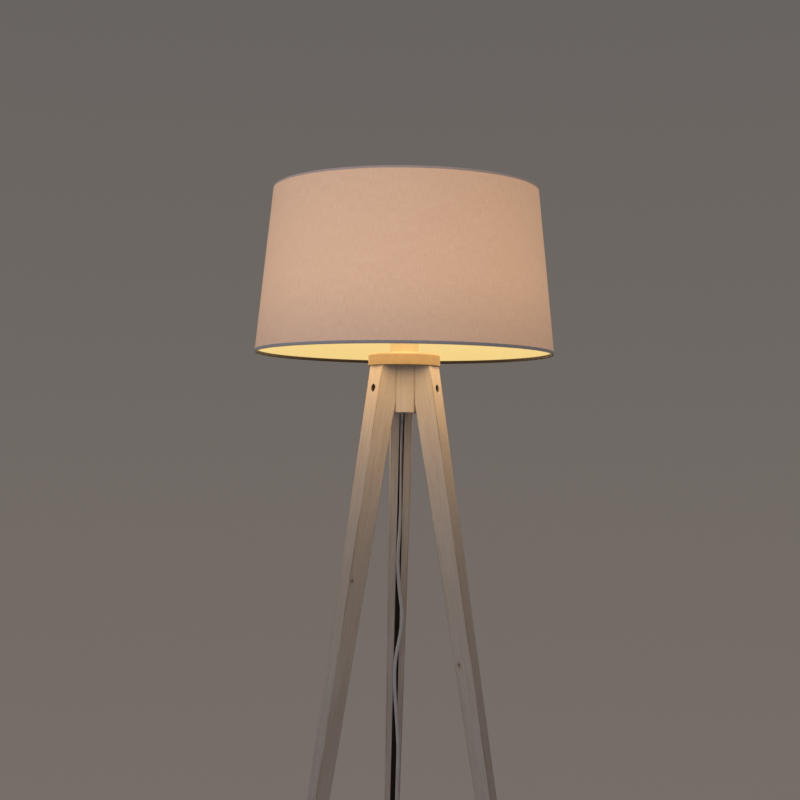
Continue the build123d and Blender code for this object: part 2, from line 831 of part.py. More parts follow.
with BuildPart() as switch_base:
    with BuildSketch(switch_plane):
        Circle(cover_radius)
    extrude(amount=base_top)
    fillet(switch_base.faces().sort_by(Axis.Z)[0].edges(), radius=switch_lower_edge)
    with BuildSketch(switch_plane):
        with Locations(*screw_spots):
            Circle(switch_screw_head / 2 + 2 * slip_gap)
    extrude(amount=switch_screw_recess, mode=Mode.SUBTRACT)
    with BuildSketch(switch_plane):
        with Locations(*screw_spots):
            Circle(switch_screw_diameter / 2 + slip_gap)
    extrude(amount=base_top, mode=Mode.SUBTRACT)
finish(switch_base, "switch_base")

inner_top = cover_top - switch_wall
with BuildPart() as switch_cover:
    with BuildSketch(switch_plane.offset(base_top)):
        Circle(cover_radius)
    with BuildSketch(switch_plane.offset(cover_top)):
        Circle(cover_top_radius)
    loft()
    fillet(switch_cover.faces().sort_by(Axis.Z)[-1].edges(), radius=switch_upper_edge)
    with BuildSketch(switch_plane.offset(base_top)):
        Circle(cover_radius - switch_wall)
    with BuildSketch(switch_plane.offset(inner_top)):
        Circle(cover_top_radius + cover_slope * switch_wall - switch_wall)
    loft(mode=Mode.SUBTRACT)
    with BuildSketch(switch_plane.offset(base_top)):
        with Locations(*screw_spots):
            Circle(switch_boss_diameter / 2)
    extrude(amount=switch_boss_height)
    with BuildSketch(switch_plane.offset(base_top)):
        with Locations(*screw_spots):
            Circle(switch_screw_diameter / 2 + running_gap)
    extrude(amount=switch_boss_height - switch_boss_roof, mode=Mode.SUBTRACT)
    with BuildSketch(switch_plane.offset(inner_top)):
        Circle(button_diameter / 2 + loose_gap)
    extrude(amount=2 * switch_wall, mode=Mode.SUBTRACT)
    side_hole = Plane(
        origin=floor_point(switch_centre, switch_heading, 0, switch_cord_level),
        z_dir=switch_plane.x_dir,
    )
    with BuildSketch(side_hole):
        Circle(relief_root_diameter / 2 + slip_gap)
    extrude(amount=switch_diameter, both=True, mode=Mode.SUBTRACT)
finish(switch_cover, "switch_cover")

with BuildPart() as switch_screws:
    with BuildSketch(switch_plane.offset(switch_screw_inset)):
        with Locations(*screw_spots):
            Circle(switch_screw_head / 2)
    extrude(amount=switch_screw_recess - switch_screw_inset - slip_gap)
    with BuildSketch(switch_plane.offset(switch_screw_inset)):
        with Locations(*screw_spots):
            Rectangle(switch_screw_cross, screw_slot_width)
            Rectangle(screw_slot_width, switch_screw_cross)
    extrude(amount=screw_slot_depth, mode=Mode.SUBTRACT)
    with BuildSketch(switch_plane.offset(switch_screw_inset + screw_slot_depth)):
        with Locations(*screw_spots):
            Circle(switch_screw_diameter / 2)
    extrude(amount=switch_screw_length - screw_slot_depth)
finish(switch_screws, "switch_screws")

with BuildPart() as switch_mechanism:
    with BuildSketch(switch_plane.offset(base_top)):
        Rectangle(mechanism_length, mechanism_width)
    extrude(amount=mechanism_height)
    chamfer(switch_mechanism.faces().sort_by(Axis.Z)[-1].edges(), length=mechanism_edge)
finish(switch_mechanism, "switch_mechanism")

button_top = cover_top + button_rise
button_bottom = inner_top - button_flange
spring_seat = base_top + mechanism_height
with BuildPart() as switch_button:
    with BuildSketch(switch_plane.offset(button_bottom)):
        Circle(button_diameter / 2)
    extrude(amount=button_top - button_bottom)
    fillet(switch_button.faces().sort_by(Axis.Z)[-1].edges(), radius=button_edge_radius)
    with BuildSketch(switch_plane.offset(button_bottom)):
        Circle(button_diameter / 2 + button_flange)
    extrude(amount=inner_top - button_bottom - loose_gap)
    with BuildSketch(switch_plane.offset(button_bottom)):
        Circle(spring_recess_radius)
    extrude(amount=spring_recess, mode=Mode.SUBTRACT)
    with BuildSketch(switch_plane.offset(button_top - button_ring_depth)):
        for ring_radius in button_ring_radii:
            Circle(ring_radius + button_ring_width / 2)
            Circle(ring_radius - button_ring_width / 2, mode=Mode.SUBTRACT)
    extrude(amount=button_rise, mode=Mode.SUBTRACT)
finish(switch_button, "switch_button")

spring_height = button_bottom + spring_recess - spring_seat - spring_wire - 2 * slip_gap
spring_plane = switch_plane.offset(spring_seat + spring_wire / 2 + slip_gap)
with BuildPart() as switch_spring:
    with BuildLine(spring_plane):
        coil_line = Helix(pitch=spring_height / spring_turns, height=spring_height, radius=spring_radius)
    with BuildSketch(Plane(origin=coil_line @ 0, z_dir=coil_line % 0)):
        Circle(spring_wire / 2)
    sweep(path=coil_line, is_frenet=True)
finish(switch_spring, "switch_spring")


def relief(centre, heading, root_distance, level, inset):
    """Tapered strain relief with rings round it, from inside a housing's wall out to the cord."""
    along = Vector(cos(radians(heading)), sin(radians(heading)), 0)
    root = Vector(centre[0], centre[1], level) + along * root_distance
    with BuildPart(mode=Mode.PRIVATE) as sleeve:
        with BuildSketch(Plane(origin=root, z_dir=along)):
            Circle(relief_root_diameter / 2)
        with BuildSketch(Plane(origin=root + along * relief_length, z_dir=along)):
            Circle(relief_tip_diameter / 2)
        loft()
        for ring in range(relief_rings):
            spot = root + along * (relief_ring_start + relief_ring_pitch * ring)
            with BuildSketch(Plane(origin=spot, z_dir=along)):
                Circle(relief_root_diameter)
                Circle(cord_radius + 2 * slip_gap, mode=Mode.SUBTRACT)
            extrude(amount=relief_ring_width, mode=Mode.SUBTRACT)
        if inset > 0:
            with BuildSketch(Plane(origin=root - along * inset, z_dir=along)):
                Circle(relief_root_diameter / 2)
            extrude(amount=inset)
    return sleeve.part


switch_headings = (switch_heading, switch_heading + 180.0)
relief_inset = 6.0
with BuildPart() as switch_reliefs:
    for heading in switch_headings:
        add(relief(switch_centre, heading, cover_radius, switch_cord_level, relief_inset))
finish(switch_reliefs, "switch_reliefs")

with BuildPart() as switch_wires:
    wire_level = base_top + mechanism_height / 2
    for heading in switch_headings:
        along = Vector(cos(radians(heading)), sin(radians(heading)), 0)
        across = along.cross(Vector(0, 0, 1))
        middle = Vector(switch_centre[0], switch_centre[1], wire_level) + along * mechanism_length / 2
        wire_run = cover_radius - relief_inset - mechanism_length / 2
        for side in (-switch_wire_spacing / 2, switch_wire_spacing / 2):
            with BuildSketch(Plane(origin=middle + across * side, z_dir=along)):
                Circle(core_wire_diameter / 2)
            extrude(amount=wire_run)
finish(switch_wires, "switch_wires")

# ---------------------------------------------------------------- free cord, from the switch to the plug
lead_route = [
    floor_point(switch_centre, switch_heading, relief_tip, switch_cord_level),
    floor_point(switch_centre, switch_heading, relief_tip + switch_straight, switch_cord_level),
    (132.0, -116.0, 4.6),
    (132.0, -140.0, floor_level),
    (118.0, -160.0, floor_level + 0.1),
    (93.0, -170.0, floor_level),
    (63.0, -169.0, floor_level + 0.1),
    (33.0, -160.0, floor_level),
    (8.0, -146.0, floor_level + 0.1),
    (-14.0, -130.0, floor_level),
    (-37.0, -111.0, floor_level + 0.1),
    (-59.0, -92.0, floor_level),
]
plug_level = plug_thickness / 2
plug_straight = 16.0
tail_route = [
    (-86.8, -31.0, 12.6),
    (-89.0, -8.0, 7.0),
    (-88.6, 14.0, floor_level),
    (-85.6, 34.0, 3.2),
    floor_point(plug_entry, plug_heading, -plug_straight, plug_level),
    floor_point(plug_entry, plug_heading, 0, plug_level),
]
for lead_name, lead_points in {"plug_lead": lead_route, "plug_tail": tail_route}.items():
    lead_line, lead_radii = route(lead_points)
    with BuildPart() as lead:
        add(lead_line)
        with BuildSketch(start_plane(lead_points)):
            Circle(cord_radius)
        sweep(path=lead_line)
    finish(lead, lead_name)
    report_route(lead_name, lead, lead_line, lead_radii, cord_width)

coil_base = tie_thickness + slip_gap
coil_middle_radius = (coil_inner_radius + coil_outer_radius) / 2
coil_thickness = coil_outer_radius - coil_inner_radius
coil_plane = Plane(origin=(coil_centre[0], coil_centre[1], 0), x_dir=(1, 0, 0), z_dir=(0, -1, 0))
with BuildPart() as cord_coil:
    with BuildSketch(coil_plane):
        with Locations((coil_middle_radius, coil_base + coil_height / 2)):
            RectangleRounded(coil_thickness, coil_height, cord_radius)
    revolve(axis=Axis((coil_centre[0], coil_centre[1], 0), (0, 0, 1)))
finish(cord_coil, "cord_coil")

tie_inner = coil_inner_radius - shank_gap
tie_outer = coil_outer_radius + slip_gap
tie_angle = 20.0
tie_plane = Plane(
    origin=(coil_centre[0], coil_centre[1], 0),
    x_dir=(cos(radians(tie_angle)), sin(radians(tie_angle)), 0),
    z_dir=(sin(radians(tie_angle)), -cos(radians(tie_angle)), 0),
)
tie_middle = ((tie_inner + tie_outer) / 2, (coil_height + 2 * tie_thickness + 2 * slip_gap) / 2)
with BuildPart() as cord_tie:
    with BuildSketch(tie_plane):
        with Locations(tie_middle):
            Rectangle(tie_outer - tie_inner + 2 * tie_thickness, coil_height + 2 * (tie_thickness + slip_gap))
            Rectangle(tie_outer - tie_inner, coil_height + 2 * slip_gap, mode=Mode.SUBTRACT)
    extrude(amount=tie_width / 2, both=True)
finish(cord_tie, "cord_tie")

# ---------------------------------------------------------------- plug
plug_back = relief_length
plug_plane = Plane(
    origin=(plug_entry[0], plug_entry[1], 0),
    x_dir=(cos(radians(plug_heading)), sin(radians(plug_heading)), 0),
    z_dir=(0, 0, 1),
)
plug_front = plug_back + plug_length
with BuildPart() as plug_body:
    with BuildSketch(plug_plane) as plug_outline:
        with BuildLine():
            Polyline(
                (plug_back, -plug_back_width / 2),
                (plug_back + plug_shoulder, -plug_width / 2),
                (plug_front - plug_nose, -plug_width / 2),
                (plug_front, -plug_nose_width / 2),
                (plug_front, plug_nose_width / 2),
                (plug_front - plug_nose, plug_width / 2),
                (plug_back + plug_shoulder, plug_width / 2),
                (plug_back, plug_back_width / 2),
                close=True,
            )
        make_face()
        fillet(plug_outline.vertices(), radius=plug_corner_radius)
    extrude(amount=plug_thickness)
    fillet(plug_body.faces().filter_by(Axis.Z).edges(), radius=plug_edge_radius)
    plug_along = plug_plane.x_dir
    for side in (-1, 1):
        hole_depth = plug_pin_seat + screw_hole_spare
        hole_end = Vector(plug_front - hole_depth, side * plug_pin_spacing / 2, plug_level)
        with BuildSketch(Plane(origin=plug_plane.from_local_coords(hole_end), z_dir=plug_along)):
            Circle(plug_pin_diameter / 2 + running_gap)
        extrude(amount=plug_length, mode=Mode.SUBTRACT)
finish(plug_body, "plug_body")

with BuildPart() as plug_pins:
    for side in (-1, 1):
        spot = Vector(plug_front - plug_pin_seat, side * plug_pin_spacing / 2, plug_level)
        with BuildSketch(Plane(origin=plug_plane.from_local_coords(spot), z_dir=plug_along)):
            Circle(plug_pin_core / 2)
        extrude(amount=plug_pin_seat + plug_pin_length)
        spot = Vector(plug_front + plug_pin_length / 2, side * plug_pin_spacing / 2, plug_level)
        with BuildSketch(Plane(origin=plug_plane.from_local_coords(spot), z_dir=plug_along)):
            Circle(plug_pin_diameter / 2)
        extrude(amount=plug_pin_length / 2)
    tip_edges = plug_pins.edges().sort_by(lambda edge: edge.center().dot(plug_along))[-2:]
    fillet(tip_edges, radius=plug_pin_tip_radius)
finish(plug_pins, "plug_pins")

with BuildPart() as pin_sleeves:
    for side in (-1, 1):
        spot = Vector(plug_front - plug_pin_seat, side * plug_pin_spacing / 2, plug_level)
        with BuildSketch(Plane(origin=plug_plane.from_local_coords(spot), z_dir=plug_along)):
            Circle(plug_pin_diameter / 2)
            Circle(plug_pin_core / 2 + running_gap, mode=Mode.SUBTRACT)
        extrude(amount=plug_pin_seat + plug_pin_length / 2 - slip_gap)
finish(pin_sleeves, "pin_sleeves")

with BuildPart() as plug_relief:
    relief_root = plug_plane.from_local_coords(Vector(plug_back, 0, 0))
    add(relief((relief_root.X, relief_root.Y), plug_heading + 180.0, 0.0, plug_level, 0.0))
finish(plug_relief, "plug_relief")
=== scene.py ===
"""Looks of the tripod floor lamp: glowing linen drum shade, whitewashed legs, twin cord, switch and plug."""

from math import cos, exp, pi, radians, sin, sqrt

import bpy
from mathutils import Matrix, Vector, noise


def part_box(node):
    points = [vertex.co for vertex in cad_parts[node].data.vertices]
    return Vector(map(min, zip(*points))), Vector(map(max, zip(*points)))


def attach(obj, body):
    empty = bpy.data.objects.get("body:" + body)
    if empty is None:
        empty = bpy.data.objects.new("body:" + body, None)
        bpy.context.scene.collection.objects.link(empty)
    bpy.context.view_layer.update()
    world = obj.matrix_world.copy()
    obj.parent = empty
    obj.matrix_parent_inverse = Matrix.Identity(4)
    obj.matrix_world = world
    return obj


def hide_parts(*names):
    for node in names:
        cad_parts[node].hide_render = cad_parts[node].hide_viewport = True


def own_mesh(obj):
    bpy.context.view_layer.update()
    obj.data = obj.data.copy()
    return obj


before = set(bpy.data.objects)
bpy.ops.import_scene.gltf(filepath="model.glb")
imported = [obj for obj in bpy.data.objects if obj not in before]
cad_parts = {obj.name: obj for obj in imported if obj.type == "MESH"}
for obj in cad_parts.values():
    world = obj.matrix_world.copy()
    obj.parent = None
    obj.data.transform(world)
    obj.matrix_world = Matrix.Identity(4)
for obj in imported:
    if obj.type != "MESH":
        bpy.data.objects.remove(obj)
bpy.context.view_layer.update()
scene = bpy.context.scene

# ---------------------------------------------------------------- sizes, in metres
MM = 0.001
UP = Vector((0.0, 0.0, 1.0))

bottom_rim_low, bottom_rim_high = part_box("bottom_rim_binding")
top_rim_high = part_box("top_rim_binding")[1]
shade_base = bottom_rim_low[2]
shade_top = top_rim_high[2]
shade_bottom_radius = bottom_rim_high[0]
shade_top_radius = top_rim_high[0]
shade_slope = (shade_bottom_radius - shade_top_radius) / (shade_top - shade_base)
rim_radius = (bottom_rim_high[2] - bottom_rim_low[2]) / 2
head_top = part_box("leg_left")[1][2]
bulb_low, bulb_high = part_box("bulb_globe")
coil_low, coil_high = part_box("cord_coil")
coil_centre = Vector(((coil_low[0] + coil_high[0]) / 2, (coil_low[1] + coil_high[1]) / 2, 0.0))

cord_width = 5.2 * MM
cord_thickness = 3.4 * MM
cord_waist = 0.3
cord_waist_spread = 0.28


def shade_surface(height):
    """Radius of the shade's outer surface at a height."""
    return shade_bottom_radius - shade_slope * (height - shade_base)


def smooth(low, high, value):
    """0 below low, 1 above high, and an even rise between."""
    share = min(1.0, max(0.0, (value - low) / (high - low)))
    return share * share * (3.0 - 2.0 * share)


# ---------------------------------------------------------------- camera
camera_spot = Vector((-0.1778, -2.3869, 0.9567))
camera_yaw = 0.0720
camera_rise = 0.0396
camera_roll = 0.012
camera_lens = 71.685
sensor_width = 36.0

forward = Vector((sin(camera_yaw) * cos(camera_rise), cos(camera_yaw) * cos(camera_rise), sin(camera_rise)))
level_right = Vector((cos(camera_yaw), -sin(camera_yaw), 0.0))
level_up = level_right.cross(forward)
camera_right = level_right * cos(camera_roll) + level_up * sin(camera_roll)
camera_up = level_up * cos(camera_roll) - level_right * sin(camera_roll)
camera_data = bpy.data.cameras.new("camera")
camera_data.lens = camera_lens
camera_data.sensor_width = sensor_width
camera = bpy.data.objects.new("camera", camera_data)
scene.collection.objects.link(camera)
camera.matrix_world = Matrix.Translation(camera_spot) @ Matrix(
    (camera_right, camera_up, -forward)
).transposed().to_4x4()
scene.camera = camera


# ---------------------------------------------------------------- shader maths
class Value:
    """A node's output that takes part in Python expressions."""

    def __init__(self, finish, socket):
        self.finish = finish
        self.socket = socket

    def maths(self, operation, *values):
        """Math node with this operation on the given values."""
        return self.finish.node("ShaderNodeMath", {"operation": operation}, dict(enumerate(values)))

    def __add__(self, other):
        return self.maths("ADD", self, other)

    def __sub__(self, other):
        return self.maths("SUBTRACT", self, other)

    def __rsub__(self, other):
        return self.maths("SUBTRACT", other, self)

    def __mul__(self, other):
        return self.maths("MULTIPLY", self, other)

    def __pow__(self, other):
        return self.maths("POWER", self, other)

    def __abs__(self):
        return self.maths("ABSOLUTE", self)

    def least(self, other):
        return self.maths("MINIMUM", self, other)

    def most(self, other):
        return self.maths("MAXIMUM", self, other)

    def sine(self):
        return self.maths("SINE", self)


class Finish:
    """One material: a principled shader and the nodes that vary it."""

    def __init__(self, name, **constants):
        self.material = bpy.data.materials.new(name)
        self.material.use_nodes = True
        self.tree = self.material.node_tree
        self.shader = self.tree.nodes["Principled BSDF"]
        for socket, value in constants.items():
            self.shader.inputs[socket.replace("_", " ")].default_value = value
        place = self.node("ShaderNodeTexCoord", output="Object")
        self.place = place
        self.x = self.node("ShaderNodeSeparateXYZ", inputs={0: place}, output=0)
        self.y = self.node("ShaderNodeSeparateXYZ", inputs={0: place}, output=1)
        self.z = self.node("ShaderNodeSeparateXYZ", inputs={0: place}, output=2)

    def node(self, kind, settings=None, inputs=None, output=0):
        """Make any node from its type, its settings and the values or links of its sockets."""
        made = self.tree.nodes.new(kind)
        for setting, value in (settings or {}).items():
            setattr(made, setting, value)
        for socket, value in (inputs or {}).items():
            if isinstance(value, Value):
                self.tree.links.new(value.socket, made.inputs[socket])
            else:
                made.inputs[socket].default_value = value
        return Value(self, made.outputs[output])

    def vector(self, x, y, z):
        """Three numbers as one vector."""
        return self.node("ShaderNodeCombineXYZ", inputs={0: x, 1: y, 2: z})

    def noise(self, where, scale, detail=3.0, roughness=0.55):
        """Cloudy pattern from 0 to 1."""
        inputs = {"Vector": where, "Scale": scale, "Detail": detail, "Roughness": roughness}
        return self.node("ShaderNodeTexNoise", inputs=inputs)

    def length(self, vector):
        return self.node("ShaderNodeVectorMath", {"operation": "LENGTH"}, {0: vector}, output="Value")

    def band(self, value, low, high, first=0.0, last=1.0):
        """Even rise from first at low to last at high."""
        inputs = {0: value, 1: low, 2: high, 3: first, 4: last}
        return self.node("ShaderNodeMapRange", {"interpolation_type": "SMOOTHSTEP"}, inputs)

    def mix(self, share, first, second):
        """Colour between two colours."""
        inputs = {0: share, 6: first, 7: second}
        return self.node("ShaderNodeMix", {"data_type": "RGBA"}, inputs, output=2)

    def feed(self, socket, value):
        """Join a value to one of the shader's sockets."""
        self.tree.links.new(value.socket, self.shader.inputs[socket])

    def bump(self, height, distance, strength=1.0):
        """Relief in the surface, distance deep."""
        inputs = {"Height": height, "Distance": distance, "Strength": strength}
        self.feed("Normal", self.node("ShaderNodeBump", inputs=inputs))


def rgb(red, green, blue):
    """Colour from linear shares of red, green and blue."""
    return (red, green, blue, 1.0)


def shaded(colour, factor):
    """The same colour, darker or lighter."""
    return rgb(*(min(1.0, part * factor) for part in colour[:3]))


# ---------------------------------------------------------------- finishes
def plain_finish(name, colour, roughness, mottle, patch_scale, grain_scale, relief, **constants):
    """Moulded or cast surface: soft patches of colour, uneven gloss and a fine grain."""
    finish = Finish(name, **constants)
    patches = finish.noise(finish.place, patch_scale, 4.0)
    specks = finish.noise(finish.place, grain_scale, 2.0)
    share = finish.band(patches * 0.7 + specks * 0.3, 0.3, 0.7)
    finish.feed("Base Color", finish.mix(share, shaded(colour, mottle), colour))
    finish.feed("Roughness", finish.band(patches, 0.25, 0.75, roughness * 0.85, roughness * 1.15))
    finish.bump(specks, relief)
    return finish.material


tool_mark_scale, tool_mark_relief = 2600.0, 0.03 * MM
tarnish_scale, tarnish_shade = 90.0, 0.72


def metal_finish(name, colour, roughness, stretch=(1.0, 1.0, 0.08)):
    """Metal with fine tool marks and a little tarnish."""
    finish = Finish(name, Metallic=1.0)
    along = finish.vector(finish.x * stretch[0], finish.y * stretch[1], finish.z * stretch[2])
    marks = finish.noise(along, tool_mark_scale, 2.0)
    tarnish = finish.noise(finish.place, tarnish_scale, 5.0)
    bright = finish.band(tarnish, 0.35, 0.7)
    finish.feed("Base Color", finish.mix(bright, shaded(colour, tarnish_shade), colour))
    worn = tarnish * 0.6 + marks * 0.4
    finish.feed("Roughness", finish.band(worn, 0.3, 0.7, roughness * 0.7, roughness * 1.4))
    finish.bump(marks, tool_mark_relief)
    return finish.material


pale_wood = rgb(0.53, 0.475, 0.43)
wash_wood = rgb(0.62, 0.575, 0.55)
# Painted lamplight: a warmer, darker copy of the limed wood for the disc, standing in for the bulb's orange
# light on it.
lamplit_pale_wood = rgb(0.385, 0.297, 0.17)
lamplit_wash_wood = rgb(0.46, 0.36, 0.21)
grain_wood = rgb(0.37, 0.29, 0.225)
worn_wood = rgb(0.30, 0.20, 0.12)
knot_wood = rgb(0.12, 0.07, 0.04)
# Painted shade: near-black colour for the bolt recesses and the rear leg's groove, darker than the bare wood
# there.
shaded_bare_wood = rgb(0.035, 0.022, 0.015)
ring_scale, pore_scale, cloud_scale, drift_scale = 520.0, 1500.0, 28.0, 9.0
ring_wander = 9 * MM
wear_reach, wear_fade = 0.6 * MM, 1.8 * MM
wear_ragged = 1.6 * MM
wood_relief = 0.16 * MM


def wood_finish(name, axes, edge, knots=(), shaded_hollows=None, pale=pale_wood, wash=wash_wood):
    """Limed pale wood; axes gives the places across, along and through the grain from a finish, in metres."""
    finish = Finish(name, Specular_IOR_Level=0.35)
    side, length, depth = axes(finish)
    drift = finish.noise(finish.vector(side, length * 0.35, depth), drift_scale, 2.0)
    wander = side + (drift - 0.5) * ring_wander
    rings = finish.noise(finish.vector(wander, length * 0.02, depth), ring_scale, 4.0, 0.65)
    pores = finish.noise(finish.vector(side, length * 0.05, depth), pore_scale, 3.0, 0.7)
    cloud = finish.noise(finish.vector(side, length * 0.3, depth), cloud_scale, 5.0, 0.6)
    colour = finish.mix(finish.band(rings, 0.3, 0.72), pale, wash)
    colour = finish.mix(finish.band(pores, 0.58, 0.74, 0.0, 0.45), colour, grain_wood)
    colour = finish.mix(finish.band(cloud, 0.35, 0.75, 0.0, 0.38), colour, shaded(pale, 0.82))
    relief = pores * -0.6 + rings * 0.4
    for spot_side, spot_length, spot_depth, size in knots:
        reach = finish.vector(side - spot_side, (length - spot_length) * 0.55, depth - spot_depth)
        ragged = finish.length(reach) + (cloud - 0.5) * (size * 0.8)
        colour = finish.mix(finish.band(ragged, size * 0.5, size * 3.2, 0.42, 0.0), colour, worn_wood)
        colour = finish.mix(finish.band(ragged, size * 0.4, size, 0.95, 0.0), colour, knot_wood)
        relief = relief - finish.band(ragged, size * 0.4, size, 0.8, 0.0)
    ragged = edge(finish) + (cloud - 0.5) * wear_ragged
    wear = finish.band(ragged, wear_reach, wear_fade, 0.7, 0.0)
    colour = finish.mix(wear * finish.band(cloud, 0.36, 0.58, 0.15, 1.0), colour, worn_wood)
    # Painted shade in the hollows: the bolt recesses and the rear leg's groove turn near black.
    if shaded_hollows is not None:
        colour = finish.mix(shaded_hollows(finish), colour, shaded_bare_wood)
    finish.feed("Base Color", colour)
    finish.feed("Roughness", finish.band(rings * 0.5 + cloud * 0.5, 0.3, 0.7, 0.5, 0.68))
    finish.bump(relief, wood_relief)
    return finish.material


leg_top_half = 17.0 * MM
leg_run = 1.099
leg_taper = 9.2 * MM / leg_run
outer_root, outer_lean = 50.0 * MM, 0.1624
inner_root, inner_lean, mitre_drop = 25.8 * MM, 0.178, 56.0 * MM
groove_half, groove_depth = 3.9 * MM, 7.2 * MM
bolt_drop, recess_radius = 34.0 * MM, 6.0 * MM


def leg_finish(name, angle, knots):
    """Wood of one leg, with the grain along it and brown wear on its long edges."""
    turn_x, turn_y = cos(radians(angle)), sin(radians(angle))

    def drop(finish):
        return head_top - finish.z

    def outward(finish):
        return finish.x * turn_x + finish.y * turn_y

    def across(finish):
        return finish.y * turn_x - finish.x * turn_y

    def through(finish):
        return outward(finish) - drop(finish) * ((outer_lean + inner_lean) / 2)

    def edge(finish):
        to_side = leg_top_half - drop(finish) * leg_taper - abs(across(finish))
        to_outer = drop(finish) * outer_lean + outer_root - outward(finish)
        to_inner = outward(finish) - (drop(finish) - mitre_drop).most(0.0) * inner_lean - inner_root
        return to_side.most(to_outer.least(to_inner))

    def shaded_hollows(finish):
        """The bolt's recess, and the cord's groove on the rear leg, which the wash has not reached; both also
        get painted shade, near black.
        """
        height = finish.z - (head_top - bolt_drop)
        from_bolt = (across(finish) * across(finish) + height * height) ** 0.5
        below_outer = drop(finish) * outer_lean + outer_root - outward(finish)
        in_recess = finish.band(from_bolt, recess_radius, recess_radius + 0.4 * MM, 0.85, 0.0)
        recess = in_recess * finish.band(below_outer, 0.8 * MM, 2.0 * MM)
        if name != "wood_rear_leg":
            return recess
        from_inner = outward(finish) - (drop(finish) - mitre_drop).most(0.0) * inner_lean - inner_root
        above_bottom = finish.band(from_inner, groove_depth, groove_depth + 0.4 * MM, 1.0, 0.0)
        below_face = finish.band(from_inner, 0.2 * MM, 0.8 * MM) * above_bottom
        from_middle = abs(across(finish))
        in_groove = finish.band(from_middle, groove_half + 0.1 * MM, groove_half + 0.3 * MM, 1.0, 0.0)
        return recess.most(below_face * in_groove)

    def axes(finish):
        return across(finish), finish.z, through(finish)

    return wood_finish(name, axes, edge, knots, shaded_hollows)


thread_pitch = 0.85 * MM
thread_noise_scale = 1150.0
slub_shade = 0.07
weave_relief = 0.22 * MM
hem_inside_depth = 1.9 * MM


def cloth_finish(name, colour, glow_strength, inside=None):
    """Slubby linen on the shade; its threads run round and up the drum, and it glows from inside."""
    finish = Finish(name, Sheen_Weight=0.35, Sheen_Roughness=0.45, Specular_IOR_Level=0.2)
    middle_radius = (shade_bottom_radius + shade_top_radius) / 2
    angle = finish.x.maths("ARCTAN2", finish.x, finish.y * -1.0)
    round_it = angle * middle_radius
    thread = 2 * pi / thread_pitch
    lines = finish.vector(round_it * 0.06, finish.z, 0.0)
    risers = finish.vector(round_it, finish.z * 0.06, 7.0)
    weft = finish.noise(lines, thread_noise_scale, 3.0, 0.6)
    warp = finish.noise(risers, thread_noise_scale, 3.0, 0.6)
    broad = finish.noise(finish.vector(round_it * 0.25, finish.z, 3.0), 60.0, 4.0, 0.6)
    weave = (round_it * thread).sine() * (finish.z * thread).sine()
    uneven = weft * 0.36 + warp * 0.56 + broad * 0.08
    tone = finish.band(uneven, 0.4, 0.6)
    woven = finish.mix(tone, shaded(colour, 1.0 - slub_shade), shaded(colour, 1.0 + slub_shade))
    # Painted shade: where the hem turns in towards the shade's axis it takes the near-black inside colour.
    if inside is not None:
        reach = (finish.x * finish.x + finish.y * finish.y) ** 0.5
        outer = shade_bottom_radius - (finish.z - shade_base) * shade_slope
        outside = finish.band(reach - outer, -hem_inside_depth, -hem_inside_depth + 0.4 * MM)
        woven = finish.mix(outside, inside, woven)
    finish.feed("Base Color", woven)
    if glow_strength > 0:
        # Painted light: the bulb's light through the cloth is painted as glow, dim at the bottom rim,
        # brightest a little above it and fading towards the top.
        low_share = finish.band(finish.z, shade_base - 0.03, shade_base + 0.11)
        level = low_share * finish.band(finish.z, shade_base + 0.12, shade_top + 0.12, 1.0, 0.4)
        dim = finish.mix(tone, shaded(glow_colour, 0.52), shaded(glow_colour, 0.62))
        bright = finish.mix(tone, shaded(glow_colour, 0.85), glow_colour)
        finish.feed("Emission Color", finish.mix(level, dim, bright))
        finish.shader.inputs["Emission Strength"].default_value = glow_strength
    finish.feed("Roughness", finish.band(uneven, 0.3, 0.7, 0.78, 0.95))
    finish.bump(weave * 0.5 + weft + warp, weave_relief, 0.8)
    return finish.material


# ---------------------------------------------------------------- mesh helpers
def new_piece(name, vertices, faces, material, body, smooth_faces=True):
    """Mesh object in the row frame, with its material, riding on a body."""
    mesh = bpy.data.meshes.new(name)
    mesh.from_pydata(vertices, [], faces)
    mesh.validate()
    if smooth_faces:
        mesh.shade_smooth()
    mesh.materials.append(material)
    piece = bpy.data.objects.new(name, mesh)
    scene.collection.objects.link(piece)
    if body:
        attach(piece, body)
    return piece


def loft_rings(rings, closed_round=True, closed_along=False, capped=False):
    """Vertices and faces through a list of equal rings of points."""
    count = len(rings[0])
    vertices = [point for ring in rings for point in ring]
    faces = []
    steps = len(rings) if closed_along else len(rings) - 1
    sides = count if closed_round else count - 1
    for step in range(steps):
        here, there = step * count, (step + 1) % len(rings) * count
        for side in range(sides):
            after = (side + 1) % count
            faces.append((here + side, here + after, there + after, there + side))
    if capped:
        faces.append(tuple(reversed(range(count))))
        faces.append(tuple(range(len(vertices) - count, len(vertices))))
    return vertices, faces


# ---------------------------------------------------------------- cords
def smooth_line(points, steps):
    """Points along the smooth line that a route's control points draw."""
    curve = bpy.data.curves.new("route", "CURVE")
    curve.dimensions = "3D"
    curve.resolution_u = steps
    spline = curve.splines.new("NURBS")
    spline.points.add(len(points) - 1)
    for control, point in zip(spline.points, points):
        control.co = (*point, 1.0)
    spline.order_u = 3
    spline.use_endpoint_u = True
    holder = bpy.data.objects.new("route", curve)
    mesh = bpy.data.meshes.new_from_object(holder)
    line = []
    for vertex in mesh.vertices:
        if not line or (vertex.co - line[-1]).length > 0.02 * MM:
            line.append(vertex.co.copy())
    bpy.data.objects.remove(holder)
    bpy.data.curves.remove(curve)
    bpy.data.meshes.remove(mesh)
    return line


profile_sides = 20
twin_profile = []
for side in range(profile_sides):
    turn = 2 * pi * side / profile_sides
    waist = 1.0 - cord_waist * exp(-((cos(turn) / cord_waist_spread) ** 2))
    twin_profile.append((cord_width / 2 * cos(turn), cord_thickness / 2 * sin(turn) * waist))


def line_length(line):
    return sum((after - before).length for before, after in zip(line, line[1:]))


